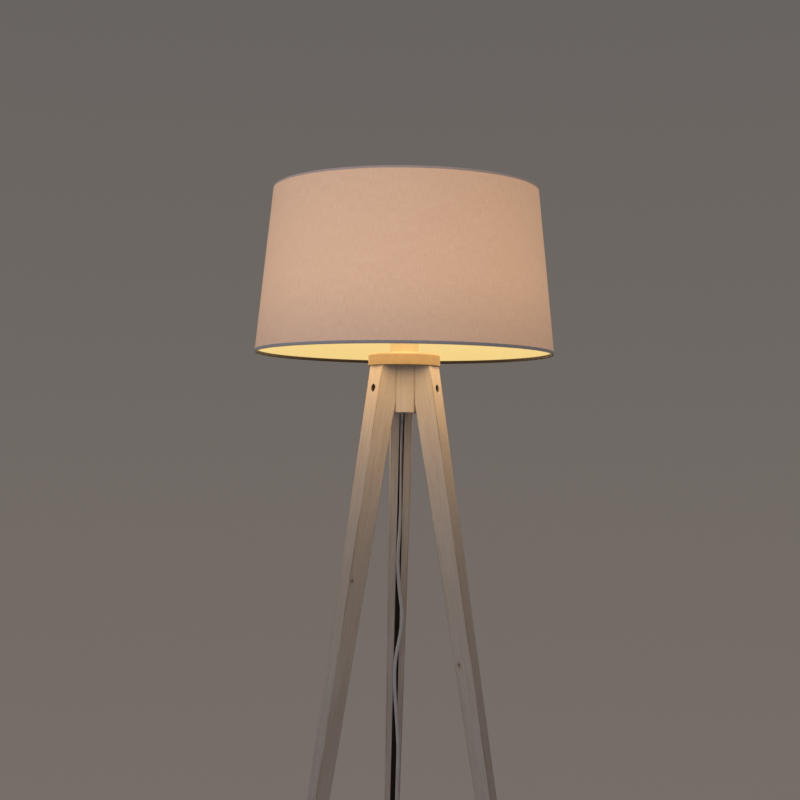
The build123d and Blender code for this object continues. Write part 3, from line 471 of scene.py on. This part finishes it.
def twin_cord(name, points, steps, guide, twist):
    """Twin cord along a route; guide gives the way its flat side faces, and twist turns it, in degrees."""
    line = smooth_line(points, steps)
    rings = []
    gone = 0.0
    for index, point in enumerate(line):
        before, after = line[max(0, index - 1)], line[min(len(line) - 1, index + 1)]
        tangent = (after - before).normalized()
        gone += (point - before).length
        across = tangent.cross(guide(point)).normalized()
        facing = across.cross(tangent)
        angle = radians(twist(gone, point))
        wide = across * cos(angle) + facing * sin(angle)
        thin = facing * cos(angle) - across * sin(angle)
        rings.append([point + wide * u + thin * v for u, v in twin_profile])
    vertices, faces = loft_rings(rings, capped=True)
    return new_piece(name, vertices, faces, cord_sheath, "stand"), line


def in_metres(points):
    return [tuple(part * MM for part in point) for point in points]


def lying(point):
    """Which way the flat side faces: towards the lamp's front on the leg, and up on the floor."""
    share = smooth(25 * MM, 85 * MM, point.z)
    return (UP * (1.0 - share) + Vector((0.0, -1.0, 0.0)) * share).normalized()


def upward(point):
    return UP


cord_sheath = plain_finish(
    "cord_sheath", rgb(0.60, 0.60, 0.65), roughness=0.42, mottle=0.86, patch_scale=45.0, grain_scale=700.0,
    relief=0.04 * MM,
)

inner_route = in_metres([
    (0, 0, 1134), (0, 0.5, 1096), (0, 0, 1055), (0, 31.6, 1034), (0, 34, 1020),
])
mains_route = in_metres([
    (0, 34, 1020), (0, 41.6, 975), (1, 51, 918), (1, 56.8, 868), (-0.8, 59.6, 834), (-1.7, 64.6, 802),
    (2.4, 72.4, 757), (8.2, 78.6, 721), (4.8, 84.4, 689), (-0.6, 89.6, 661), (-2.7, 94.6, 633),
    (-0.9, 101, 597), (3.6, 109.2, 550), (6.8, 117, 506), (6, 125.6, 457), (6.8, 134, 412),
    (4.6, 142.8, 366), (0.6, 154.6, 318), (-0.6, 167.6, 264), (0.6, 178.4, 208), (-0.6, 188, 154),
    (0.5, 196, 108), (0, 200.5, 74), (1.5, 196, 44), (2, 178, 18), (-2, 152, 3.8), (-13, 122, 1.8),
    (-15, 89, 1.8), (-2, 60, 1.8), (12, 45, 3.4), (33.4, 23.2, 9), (45.4, 7.2, 9),
])
lead_route = in_metres([
    (110.6, -79.2, 9), (122.6, -95.2, 9), (132, -116, 4.2), (132, -140, 1.8), (118, -160, 1.8),
    (93, -170, 1.8), (63, -169, 1.8), (33, -160, 1.8), (8, -146, 2.2), (-14, -130, 2.8),
    (-37, -111, 3.0), (-59, -92, 3.3),
])
tail_route = in_metres([
    (-86.8, -31, 11.6), (-89, -8, 5.6), (-88.6, 14, 2.3), (-85.6, 34, 2.8), (-79.9, 53.1, 6.8),
    (-75.5, 68.5, 6.8),
])

turn_points = 14
coil_start, coil_end = 230.0, 180.0
turn_radii = [34.4, 29.2, 24.0, 24.0, 29.2, 34.4, 34.4, 34.4]
turn_levels = [3.3, 3.3, 3.3, 8.5, 8.5, 8.5, 13.7, 13.7]
step_over = 70.0
inward_pull = 0.25 * cos(2 * pi / turn_points) + 0.75
whole_turn = 360.0
coil_route = []
coil_sweep = coil_start - coil_end + whole_turn * (len(turn_radii) - 1)
coil_steps = round(coil_sweep / whole_turn * turn_points)
for step in range(coil_steps + 1):
    swept = coil_sweep * step / coil_steps
    turn = int(swept // whole_turn)
    share = smooth(0.0, step_over, swept - turn * whole_turn)
    before = max(0, turn - 1)
    radius = turn_radii[before] + (turn_radii[turn] - turn_radii[before]) * share
    level = turn_levels[before] + (turn_levels[turn] - turn_levels[before]) * share
    angle = radians(coil_start - swept)
    reach = radius * MM / inward_pull
    coil_route.append((coil_centre.x + reach * cos(angle), coil_centre.y + reach * sin(angle), level * MM))


def forward_down(point):
    return Vector((0, -1, -0.3))


def no_twist(gone, point):
    return 0.0


groove_twist, loose_twist, loose_turns = 38.0, 16.0, 11.0


def mains_twist(gone, point):
    """The cord stands askew in the top of the groove and sways a little where it hangs loose."""
    in_groove = smooth(0.75, 0.95, point.z) * smooth(1.02, 0.99, point.z)
    hanging = smooth(0.1, 0.3, point.z)
    return groove_twist * in_groove + loose_twist * sin(gone * loose_turns) * hanging


inner_lead = twin_cord("inner_lead", inner_route, steps=12, guide=forward_down, twist=no_twist)[0]
mains_lead, mains_line = twin_cord("mains_lead", mains_route, steps=10, guide=lying, twist=mains_twist)
stand_early = 0.03
stand_start = line_length(smooth_line(lead_route, 8)) - stand_early
stand_end = stand_start + stand_early + line_length(smooth_line(coil_route, 4))
rise_run, fall_run = 0.09, 0.06


def lead_twist(gone, point):
    """The cord lies flat on the floor and stands on edge in the coil."""
    risen = smooth(stand_start - rise_run, stand_start, gone)
    return 90.0 * risen * (1.0 - smooth(stand_end, stand_end + fall_run, gone))


whole_lead = lead_route + coil_route + tail_route
plug_lead, lead_line = twin_cord("plug_cord", whole_lead, steps=6, guide=upward, twist=lead_twist)
for piece, nodes in (
    (inner_lead, ["inner_cord"]),
    (mains_lead, ["mains_cord"]),
    (plug_lead, ["plug_lead", "cord_coil", "plug_tail"]),
):
    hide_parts(*nodes)


# ---------------------------------------------------------------- spring under the foot button
zinc_steel = metal_finish("zinc_steel", rgb(0.62, 0.60, 0.57), 0.34)


def button_spring():
    """Wound wire spring on its seat."""
    low, high = (Vector(corner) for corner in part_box("switch_spring"))
    wire = 0.35 * MM
    coils, coil_points, wire_sides = 4, 32, 10
    middle_x, middle_y = (low.x + high.x) / 2, (low.y + high.y) / 2
    coil_radius = (high.x - low.x) / 2 - wire
    rings = []
    for step in range(coils * coil_points + 1):
        share = step / (coils * coil_points)
        turn = 2 * pi * coils * share
        outward = Vector((cos(turn), sin(turn), 0.0))
        level = low.z + wire + (high.z - low.z - 2 * wire) * share
        spot = Vector((middle_x, middle_y, level)) + outward * coil_radius
        ring = []
        for side in range(wire_sides):
            around = 2 * pi * side / wire_sides
            ring.append(spot + outward * (wire * cos(around)) + UP * (wire * sin(around)))
        rings.append(ring)
    vertices, faces = loft_rings(rings, capped=True)
    spring = new_piece("button_spring", vertices, faces, zinc_steel, "stand")
    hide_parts("switch_spring")
    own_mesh(spring)
    return spring


press_spring = button_spring()


# ---------------------------------------------------------------- tie round the coil
def coil_band():
    """Soft band round the coil's section."""
    angle = radians(20.0)
    outward, along = Vector((cos(angle), sin(angle), 0)), Vector((-sin(angle), cos(angle), 0))
    inner, outer = 20.9 * MM, 37.2 * MM
    low, high = 0.35 * MM, 17.3 * MM
    corner = 2.6 * MM
    half_width, thickness = 4.4 * MM, 0.6 * MM
    corner_steps = 6
    outline = []
    for (u, v), first in (((outer - corner, low + corner), -90), ((outer - corner, high - corner), 0),
                          ((inner + corner, high - corner), 90), ((inner + corner, low + corner), 180)):
        for step in range(corner_steps + 1):
            turn = radians(first + 90 * step / corner_steps)
            outline.append((u + corner * cos(turn), v + corner * sin(turn), cos(turn), sin(turn)))
    rings = []
    for u, v, face_u, face_v in outline:
        ring = []
        for w, t in ((-1, 0), (-0.94, 1), (0.94, 1), (1, 0)):
            spot = coil_centre + outward * (u - face_u * thickness * (1 - t)) + along * (w * half_width)
            ring.append(spot + UP * (v - face_v * thickness * (1 - t)))
        rings.append(ring)
    vertices, faces = loft_rings(rings, closed_along=True)
    return new_piece("coil_tie", vertices, faces, tie_plastic, "stand", smooth_faces=False)


tie_plastic = plain_finish(
    "tie_plastic", rgb(0.08, 0.08, 0.085), roughness=0.7, mottle=0.7, patch_scale=300.0, grain_scale=2600.0,
    relief=0.12 * MM, Sheen_Weight=0.3,
)
coil_tie = coil_band()
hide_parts("cord_tie")

# ---------------------------------------------------------------- shade
glow_colour = rgb(1.0, 0.53, 0.26)
linen_colour = rgb(0.70, 0.62, 0.60)
shade_cloth = cloth_finish("shade_cloth", linen_colour, 0.49)
seam_cloth = cloth_finish("seam_cloth", linen_colour, 0.30)
# The bottom hem's inward side is painted shade, near black.
rim_cloth = cloth_finish("rim_cloth", rgb(0.66, 0.64, 0.70), 0.0, inside=rgb(0.045, 0.035, 0.03))
top_cloth = cloth_finish("top_cloth", rgb(0.72, 0.66, 0.72), 0.12)
shade_body = "shade"
round_steps = 240
rise_steps = 28
cloth_gap = 0.35 * MM
cloth_tuck = 0.8
cloth_unevenness = 0.25 * MM
waves_round, waves_rise = 5, 14


def cone_sheet(name, gap, first, last, steps, material, thickness=0.0):
    """Cloth on the shade from one angle to another, with the slight unevenness of hand-laid linen."""
    rings = []
    full = abs(last - first) >= 2 * pi - 0.001
    for row in range(rise_steps + 1):
        height = cloth_low + (cloth_high - cloth_low) * row / rise_steps
        ring = []
        for step in range(steps + (0 if full else 1)):
            angle = first + (last - first) * step / steps
            calm = sin(pi * row / rise_steps)
            place = Vector((cos(angle) * waves_round, sin(angle) * waves_round, height * waves_rise))
            uneven = noise.noise(place) * calm
            radius = shade_surface(height) - gap + uneven * cloth_unevenness
            ring.append(Vector((radius * cos(angle), radius * sin(angle), height)))
        rings.append(ring)
    vertices, faces = loft_rings(rings, closed_round=full)
    piece = new_piece(name, vertices, faces, material, shade_body)
    if thickness:
        solid = piece.modifiers.new("thickness", "SOLIDIFY")
        solid.thickness = thickness
        solid.offset = -1.0
    return piece


cloth_low = shade_base + rim_radius * cloth_tuck
cloth_high = shade_top - rim_radius * cloth_tuck
shade_linen = cone_sheet("shade_linen", cloth_gap, 0.0, 2 * pi, round_steps, shade_cloth)
seam_half = 7 * MM / shade_bottom_radius
seam_rise, seam_thickness = 0.15 * MM, 0.45 * MM
seam_steps = 6
seam_first, seam_last = pi / 2 - seam_half, pi / 2 + seam_half
shade_seam = cone_sheet(
    "shade_seam", -seam_rise, seam_first, seam_last, seam_steps, seam_cloth, thickness=seam_thickness,
)
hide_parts("shade_fabric")


hem_height = 0.8 * MM
hem_squareness = 0.3
rim_sides = 18
rim_swell = 0.05 * MM
swells_round, swells_rise = 40, 30


def rim_roll(name, radius, level, inward, node, cloth):
    """Rolled edge: cloth turned over the wire, with a short hem that lies on the shade."""
    rings = []
    for step in range(round_steps):
        angle = 2 * pi * step / round_steps
        place = Vector((cos(angle) * swells_round, sin(angle) * swells_round, level * swells_rise))
        swell = noise.noise(place) * rim_swell
        ring = []
        for side in range(rim_sides):
            turn = 2 * pi * side / rim_sides
            size = rim_radius + swell
            hem_side = sin(turn) * inward > 0
            square = hem_squareness if hem_side else 1.0
            across = size * abs(cos(turn)) ** square * (1 if cos(turn) > 0 else -1)
            rise = sin(turn) * (size + hem_height if hem_side else size)
            reach = radius + across - shade_slope * rise
            ring.append(Vector((reach * cos(angle), reach * sin(angle), level + rise)))
        rings.append(ring)
    vertices, faces = loft_rings(rings, closed_along=True)
    piece = new_piece(name, vertices, faces, cloth, shade_body)
    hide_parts(node)
    return piece


bottom_radius, bottom_level = shade_bottom_radius - rim_radius, shade_base + rim_radius
bottom_hem = rim_roll("bottom_hem", bottom_radius, bottom_level, 1.0, "bottom_rim_binding", rim_cloth)
top_radius, top_level = shade_top_radius - rim_radius, shade_top - rim_radius
top_hem = rim_roll("top_hem", top_radius, top_level, -1.0, "top_rim_binding", top_cloth)

slant = sqrt((cloth_high - cloth_low) ** 2 + ((cloth_high - cloth_low) * shade_slope) ** 2)
cloth_area = pi * (shade_surface(cloth_low) + shade_surface(cloth_high)) * slant
apex_low = shade_surface(cloth_low) * slant / ((cloth_high - cloth_low) * shade_slope)
arc_angle = 2 * pi * shade_surface(cloth_low) / apex_low
cut_width = apex_low - (apex_low - slant) * cos(arc_angle / 2)
cut_length = 2 * apex_low * sin(arc_angle / 2)


liner_glow, globe_glow = 0.95, 1.9


def liner_finish():
    """Smooth backing film inside the shade. The bulb's light on it is painted as glow, brighter near and just
    above the bulb and dimmer towards the top; its own colour is kept dark so that the painted glow carries
    its look.
    """
    finish = Finish("liner_plastic", Specular_IOR_Level=0.3)
    cloudy = finish.noise(finish.place, 16.0, 4.0)
    fine = finish.noise(finish.place, 900.0, 3.0)
    level = finish.band(abs(finish.z - (bulb_low[2] + bulb_high[2]) / 2), 0.02, 0.15, 1.0, 0.0)
    colour = finish.mix(cloudy, rgb(0.18, 0.15, 0.11), rgb(0.21, 0.175, 0.13))
    finish.feed("Base Color", colour)
    # Painted light from the bulb on the liner.
    glow = finish.mix(level * 0.8 + cloudy * 0.2, rgb(0.742, 0.557, 0.213), rgb(0.789, 0.624, 0.241))
    above = finish.band(finish.z, bulb_high[2] - 25 * MM, bulb_high[2] + 20 * MM)
    height = finish.band(finish.z, bulb_high[2], shade_top + 40 * MM)
    upper_glow = finish.mix(height, rgb(0.995, 0.703, 0.276), rgb(0.726, 0.489, 0.182))
    finish.feed("Emission Color", finish.mix(above, glow, upper_glow))
    finish.shader.inputs["Emission Strength"].default_value = liner_glow
    finish.feed("Roughness", finish.band(fine, 0.3, 0.7, 0.45, 0.6))
    finish.bump(fine, 0.04 * MM)
    return finish.material


def opal_finish():
    """Frosted globe, lit evenly from inside and a little warmer towards its neck."""
    finish = Finish("opal_glass", Roughness=0.25)
    level = finish.band(finish.z, bulb_low[2], bulb_high[2] - 20 * MM, 0.0, 1.0)
    cloudy = finish.noise(finish.place, 55.0, 3.0)
    finish.feed("Base Color", finish.mix(cloudy, rgb(0.88, 0.86, 0.82), rgb(0.93, 0.91, 0.88)))
    share = level * 0.85 + cloudy * 0.15
    finish.feed("Emission Color", finish.mix(share, rgb(1.0, 0.62, 0.28), rgb(1.0, 0.74, 0.42)))
    finish.shader.inputs["Emission Strength"].default_value = globe_glow
    finish.bump(cloudy, 0.05 * MM)
    return finish.material


# ---------------------------------------------------------------- materials on the CAD nodes
leg_knots = {
    "leg_left": [(14.3 * MM, 784.3 * MM, 43 * MM, 1.7 * MM), (5 * MM, 420 * MM, 20 * MM, 1.6 * MM)],
    "leg_right": [(-13.3 * MM, 663.3 * MM, 26.3 * MM, 1.7 * MM), (9 * MM, 330 * MM, 42 * MM, 1.8 * MM)],
    "leg_rear": [(-12 * MM, 845 * MM, 24 * MM, 1.5 * MM), (6 * MM, 262 * MM, 45 * MM, 2.0 * MM)],
}
leg_angles = {"leg_left": 210.0, "leg_right": 330.0, "leg_rear": 90.0}


def disc_edge(finish):
    """Nearness to the disc's two rims."""
    low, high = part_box("top_disc")
    reach = (finish.x * finish.x + finish.y * finish.y) ** 0.5
    to_side = reach * -1.0 + high[0]
    to_face = (finish.z - low[2]).least(finish.z * -1.0 + high[2])
    return to_side.most(to_face)


def block_edge(finish):
    """Nearness to the block's six upright corners."""
    nearest = None
    for angle in leg_angles.values():
        turn_x, turn_y = cos(radians(angle)), sin(radians(angle))
        for side in (-leg_top_half, leg_top_half):
            corner_x = inner_root * turn_x - side * turn_y
            corner_y = inner_root * turn_y + side * turn_x
            reach = finish.vector(finish.x - corner_x, finish.y - corner_y, 0.0)
            distance = finish.length(reach)
            nearest = distance if nearest is None else nearest.least(distance)
    return nearest * 0.8


finishes = {
    "leg_left": leg_finish("wood_left_leg", leg_angles["leg_left"], leg_knots["leg_left"]),
    "leg_right": leg_finish("wood_right_leg", leg_angles["leg_right"], leg_knots["leg_right"]),
    "leg_rear": leg_finish("wood_rear_leg", leg_angles["leg_rear"], leg_knots["leg_rear"]),
    "head_block": wood_finish("wood_block", lambda finish: (finish.x, finish.z, finish.y), block_edge),
    # The disc wears the lamplit copy of the wood: painted orange light from the bulb.
    "top_disc": wood_finish(
        "wood_disc", lambda finish: (finish.y, finish.x, finish.z), disc_edge,
        pale=lamplit_pale_wood, wash=lamplit_wash_wood,
    ),
    "shade_liner": liner_finish(),
    "bulb_globe": opal_finish(),
}

metals = [
    (zinc_steel, ["disc_screws", "switch_screws", "threaded_tube", "tube_nut", "tube_washer"]),
    (metal_finish("dark_steel", rgb(0.24, 0.17, 0.10), 0.45), ["leg_bolts"]),
    (metal_finish("brass", rgb(0.78, 0.56, 0.27), 0.3),
     ["terminal_screws", "threaded_inserts", "centre_contact", "bulb_contact", "plug_pins"]),
    (metal_finish("shell_metal", rgb(0.74, 0.72, 0.68), 0.28, (1.0, 1.0, 6.0)), ["screw_shell", "bulb_cap"]),
]
for material, nodes in metals:
    for node in nodes:
        finishes[node] = material

# Name, colour, roughness, darkest share of the colour, patch scale, grain scale,
# grain relief in millimetres, nodes.
plain_rows = [
    ("white_metal", rgb(0.74, 0.73, 0.70), 0.4, 0.9, 80.0, 500.0, 0.03,
     ["top_wire_ring", "bottom_wire_ring", "shade_spokes", "fitter_ring"]),
    ("white_plastic", rgb(0.84, 0.80, 0.64), 0.36, 0.93, 50.0, 1100.0, 0.04,
     ["holder_base", "holder_body", "support_ring", "shade_ring", "cord_grip"]),
    ("porcelain", rgb(0.84, 0.83, 0.79), 0.2, 0.95, 40.0, 400.0, 0.02, ["holder_core"]),
    ("dark_glass", rgb(0.015, 0.015, 0.02), 0.12, 0.7, 60.0, 500.0, 0.02, ["bulb_insulator"]),
    ("bulb_plastic", rgb(0.82, 0.80, 0.76), 0.4, 0.95, 60.0, 900.0, 0.03, ["bulb_neck"]),
    ("board", rgb(0.60, 0.61, 0.58), 0.5, 0.85, 400.0, 2000.0, 0.04, ["led_board", "switch_mechanism"]),
    ("pad_plastic", rgb(0.62, 0.59, 0.54), 0.65, 0.85, 200.0, 1500.0, 0.08, ["foot_pads"]),
    ("wire_sheath", rgb(0.10, 0.13, 0.30), 0.4, 0.8, 300.0, 1500.0, 0.02, ["core_wires", "switch_wires"]),
    ("sleeve_plastic", rgb(0.03, 0.03, 0.032), 0.4, 0.8, 300.0, 1800.0, 0.03, ["pin_sleeves"]),
    ("switch_plastic", rgb(0.74, 0.73, 0.70), 0.38, 0.93, 70.0, 1400.0, 0.05,
     ["switch_base", "switch_cover", "switch_reliefs", "plug_body", "plug_relief"]),
    ("button_plastic", rgb(0.66, 0.65, 0.62), 0.3, 0.92, 90.0, 1600.0, 0.04, ["switch_button"]),
]
for name, colour, roughness, mottle, patch_scale, grain_scale, relief, nodes in plain_rows:
    material = plain_finish(name, colour, roughness, mottle, patch_scale, grain_scale, relief * MM)
    for node in nodes:
        finishes[node] = material
for node, material in finishes.items():
    for place in bpy.data.objects[node].material_slots:
        place.material = material


# ---------------------------------------------------------------- floor, light and air
def floor_finish():
    finish = Finish("floor")
    cloudy = finish.noise(finish.place, 3.0, 6.0)
    finish.feed("Base Color", finish.mix(cloudy, rgb(0.72, 0.66, 0.60), rgb(0.80, 0.74, 0.68)))
    finish.feed("Roughness", finish.band(cloudy, 0.3, 0.7, 0.6, 0.8))
    finish.bump(finish.noise(finish.place, 240.0, 3.0), 0.1 * MM)
    return finish.material


floor_radius, floor_level = 1.9, -0.5 * MM
floor_steps = 96
rim = []
for step in range(floor_steps):
    turn = 2 * pi * step / floor_steps
    rim.append(Vector((floor_radius * cos(turn), floor_radius * sin(turn), floor_level)))
floor = new_piece("floor", rim, [tuple(range(floor_steps))], floor_finish(), None, smooth_faces=False)

horizon_low, horizon_high = -0.25, 0.32
low_air = rgb(0.185, 0.158, 0.140)
high_air = rgb(0.137, 0.125, 0.117)
world = bpy.data.worlds.new("air")
scene.world = world
world.use_nodes = True
air = world.node_tree
heading = air.nodes.new("ShaderNodeTexCoord")
heights = air.nodes.new("ShaderNodeSeparateXYZ")
blend = air.nodes.new("ShaderNodeMapRange")
blend.inputs["From Min"].default_value = horizon_low
blend.inputs["From Max"].default_value = horizon_high
tint = air.nodes.new("ShaderNodeMix")
tint.data_type = "RGBA"
tint.inputs[6].default_value = low_air
tint.inputs[7].default_value = high_air
air.links.new(heading.outputs["Generated"], heights.inputs[0])
air.links.new(heights.outputs["Z"], blend.inputs["Value"])
air.links.new(blend.outputs["Result"], tint.inputs[0])
air.links.new(tint.outputs[2], air.nodes["Background"].inputs["Color"])


def soft_light(name, spot, target, size, power, colour, shape="SQUARE"):
    """Soft light at a spot, aimed at a target; it doesn't show itself."""
    data = bpy.data.lights.new(name, "AREA")
    data.shape = shape
    data.size = size
    data.energy = power
    data.color = colour
    light = bpy.data.objects.new(name, data)
    light.location = spot
    light.rotation_euler = (Vector(target) - Vector(spot)).to_track_quat("-Z", "Y").to_euler()
    scene.collection.objects.link(light)
    light.visible_camera = False


middle = (0.0, 0.0, 0.85)
foot = (0.0, 0.001, 0.0)
glow_width = 2 * shade_top_radius
above_bulb = (0.0, 0.0, bulb_high[2] + 15 * MM)
in_mouth = (0.0, 0.0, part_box("top_disc")[1][2] + 3 * MM)
soft_light("side_light", (-2.6, -1.6, 1.9), middle, size=1.8, power=12.0, colour=(0.86, 0.94, 1.05))
soft_light("front_light", (0.5, -3.2, 1.5), middle, size=2.0, power=6.2, colour=(0.91, 0.96, 1.05))
soft_light("shade_glow", above_bulb, foot, glow_width, power=0.8, colour=(1.0, 0.60, 0.285), shape="DISK")
soft_light("mouth_glow", in_mouth, foot, glow_width, power=0.72, colour=(1.0, 0.60, 0.32), shape="DISK")
scene.view_settings.view_transform = "Standard"
